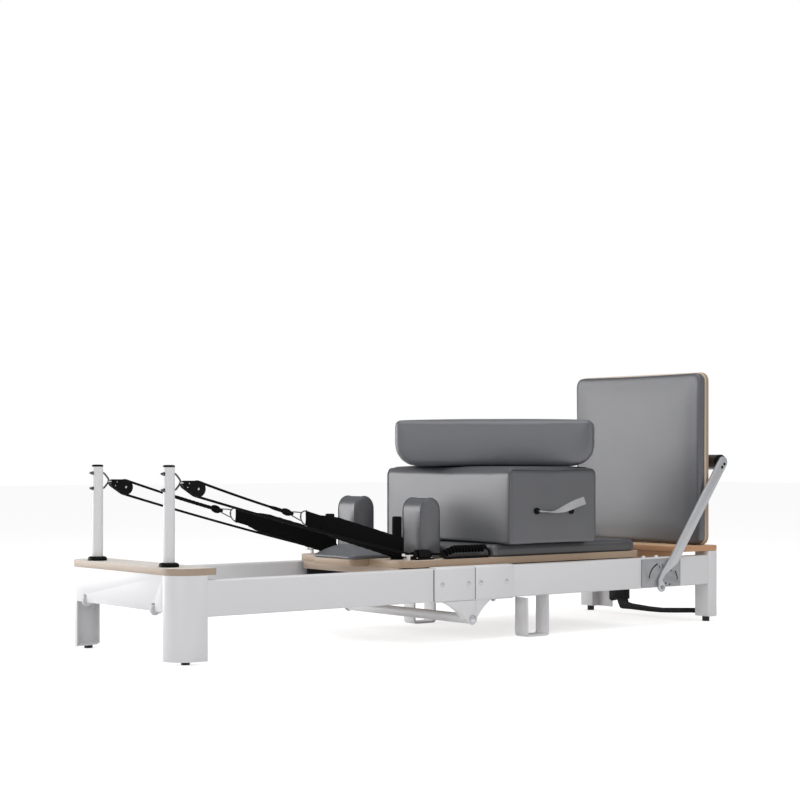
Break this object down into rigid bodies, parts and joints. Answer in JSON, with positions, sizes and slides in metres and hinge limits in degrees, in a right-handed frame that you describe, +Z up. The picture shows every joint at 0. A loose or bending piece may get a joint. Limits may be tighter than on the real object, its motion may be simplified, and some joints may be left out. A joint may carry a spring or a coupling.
{
  "type": "folding pilates reformer",
  "caption": "Folding reformer with sprung carriage, rope pulleys and straps, headrest, shoulder rests, footbar, jump board, sitting box and bolster.",
  "frame": {"origin": "middle of the footprint, on the floor", "axes": "+X along the rails from the pulley posts to the footbar, +Y across to the far rail, +Z up"},
  "size_m": [2.3345, 0.6926, 0.9028],
  "materials": {
    "white_paint": "smooth white powder coat",
    "plywood": "clear lacquered birch plywood",
    "silver": "satin silver",
    "grey_leatherette": "matt grey leatherette over foam",
    "black_webbing": "braided rope and webbing",
    "black_steel": "satin black coating",
    "pale_nylon": "pale wheel with a smooth tread"
  },
  "bodies": {
    "left_frame": {"left_rail_near": "white_paint", "left_rail_far": "white_paint", "left_leg_near": "white_paint", "left_leg_far": "white_paint", "left_apron": "white_paint", "left_plate": "plywood", "post_near": "white_paint", "post_far": "white_paint", "left_hinge_near": "white_paint", "left_hinge_far": "white_paint", "hinge_tube": "white_paint", "pulley_block_near": "black_steel", "pulley_block_far": "black_steel"},
    "right_frame": {"right_rail_near": "white_paint", "right_rail_far": "white_paint", "right_hinge_near": "white_paint", "right_hinge_far": "white_paint", "right_legs": "white_paint", "right_plate": "plywood", "quadrant_near": "silver", "quadrant_far": "silver", "spring_bar": "black_steel", "lift_bar": "black_steel"},
    "transport_wheel_near": {"transport_wheel_near": "pale_nylon"},
    "transport_wheel_far": {"transport_wheel_far": "pale_nylon"},
    "sheave_near": {"sheave_near": "silver"},
    "sheave_far": {"sheave_far": "silver"},
    "footbar": {"footbar_arm_near": "silver", "footbar_arm_far": "silver", "footbar_roller": "silver"},
    "jump_board": {"jump_board_back": "plywood", "jump_board_pad": "grey_leatherette"},
    "carriage": {"carriage_deck": "plywood", "carriage_pad": "grey_leatherette", "carriage_frame": "black_steel", "carriage_cross_board": "plywood", "peg_near": "black_steel", "peg_far": "black_steel", "rope_cleat_near": "black_steel", "rope_cleat_far": "black_steel", "rope_near": "black_webbing", "rope_far": "black_webbing", "hank_near": "black_webbing", "hank_far": "black_webbing", "strap_near": "black_webbing", "strap_far": "black_webbing", "spring_1": "silver", "spring_2": "silver", "spring_3": "silver", "spring_4": "silver"},
    "headrest": {"headrest_board": "plywood", "headrest_pad": "grey_leatherette"},
    "shoulder_rest_near": {"shoulder_rest_near": "grey_leatherette"},
    "shoulder_rest_far": {"shoulder_rest_far": "grey_leatherette"},
    "carriage_wheel_front_near": {"carriage_wheel_front_near": "pale_nylon"},
    "carriage_wheel_front_far": {"carriage_wheel_front_far": "pale_nylon"},
    "carriage_wheel_rear_near": {"carriage_wheel_rear_near": "pale_nylon"},
    "carriage_wheel_rear_far": {"carriage_wheel_rear_far": "pale_nylon"},
    "box": {"sitting_box": "grey_leatherette"},
    "bolster": {"bolster": "grey_leatherette"}
  },
  "joints": [
    {"name": "fold", "type": "hinge", "parent": "left_frame", "child": "right_frame", "pos_m": [-0.05455, 0, 0.0744], "axis": [0, 1, 0], "range_deg": [0, 175]},
    {"name": "carriage_slide", "type": "slide", "parent": "left_frame", "child": "carriage", "axis": [-1, 0, 0], "range_m": [0, 0.6], "stiffness_N_per_m": 120, "deforming": ["rope_near", "rope_far", "strap_near", "strap_far", "spring_1", "spring_2", "spring_3", "spring_4"]},
    {"name": "headrest_tilt", "type": "hinge", "parent": "carriage", "child": "headrest", "pos_m": [-0.12725, 0, 0.2665], "axis": [0, 1, 0], "range_deg": [0, 40]},
    {"name": "footbar_swing", "type": "hinge", "parent": "right_frame", "child": "footbar", "pos_m": [0.81875, 0, 0.137], "axis": [0, 1, 0], "range_deg": [-3, 50]},
    {"name": "jump_board_lift", "type": "slide", "parent": "right_frame", "child": "jump_board", "axis": [0, 0, 1], "range_m": [0, 0.5]},
    {"name": "box_lift", "type": "slide", "parent": "carriage", "child": "box", "axis": [0, 0, 1], "range_m": [0, 0.5]},
    {"name": "bolster_lift", "type": "slide", "parent": "box", "child": "bolster", "axis": [0, 0, 1], "range_m": [0, 0.4]},
    {"name": "shoulder_rest_near_lift", "type": "slide", "parent": "carriage", "child": "shoulder_rest_near", "axis": [0, 0, 1], "range_m": [0, 0.12]},
    {"name": "shoulder_rest_far_lift", "type": "slide", "parent": "carriage", "child": "shoulder_rest_far", "axis": [0, 0, 1], "range_m": [0, 0.12]},
    {"name": "sheave_near_spin", "type": "hinge", "parent": "left_frame", "child": "sheave_near", "pos_m": [-1.01515, -0.2125, 0.5015], "axis": [0, 1, 0], "continuous": true},
    {"name": "sheave_far_spin", "type": "hinge", "parent": "left_frame", "child": "sheave_far", "pos_m": [-1.01515, 0.2125, 0.5015], "axis": [0, 1, 0], "continuous": true},
    {"name": "transport_wheel_near_spin", "type": "hinge", "parent": "left_frame", "child": "transport_wheel_near", "pos_m": [-1.15125, -0.204, 0.154], "axis": [0, 1, 0], "continuous": true},
    {"name": "transport_wheel_far_spin", "type": "hinge", "parent": "left_frame", "child": "transport_wheel_far", "pos_m": [-1.15125, 0.204, 0.154], "axis": [0, 1, 0], "continuous": true},
    {"name": "wheel_front_near_roll", "type": "hinge", "parent": "carriage", "child": "carriage_wheel_front_near", "pos_m": [-0.22725, -0.2755, 0.1643], "axis": [0, 1, 0], "range_deg": [-1800, 0]},
    {"name": "wheel_front_far_roll", "type": "hinge", "parent": "carriage", "child": "carriage_wheel_front_far", "pos_m": [-0.22725, 0.2755, 0.1643], "axis": [0, 1, 0], "range_deg": [-1800, 0]},
    {"name": "wheel_rear_near_roll", "type": "hinge", "parent": "carriage", "child": "carriage_wheel_rear_near", "pos_m": [0.69275, -0.2755, 0.1643], "axis": [0, 1, 0], "range_deg": [-1800, 0]},
    {"name": "wheel_rear_far_roll", "type": "hinge", "parent": "carriage", "child": "carriage_wheel_rear_far", "pos_m": [0.69275, 0.2755, 0.1643], "axis": [0, 1, 0], "range_deg": [-1800, 0]}
  ],
  "couplings": [
    {"joint": "wheel_front_near_roll", "follows": "carriage_slide", "rad_per_m": -50},
    {"joint": "wheel_front_far_roll", "follows": "carriage_slide", "rad_per_m": -50},
    {"joint": "wheel_rear_near_roll", "follows": "carriage_slide", "rad_per_m": -50},
    {"joint": "wheel_rear_far_roll", "follows": "carriage_slide", "rad_per_m": -50}
  ]
}
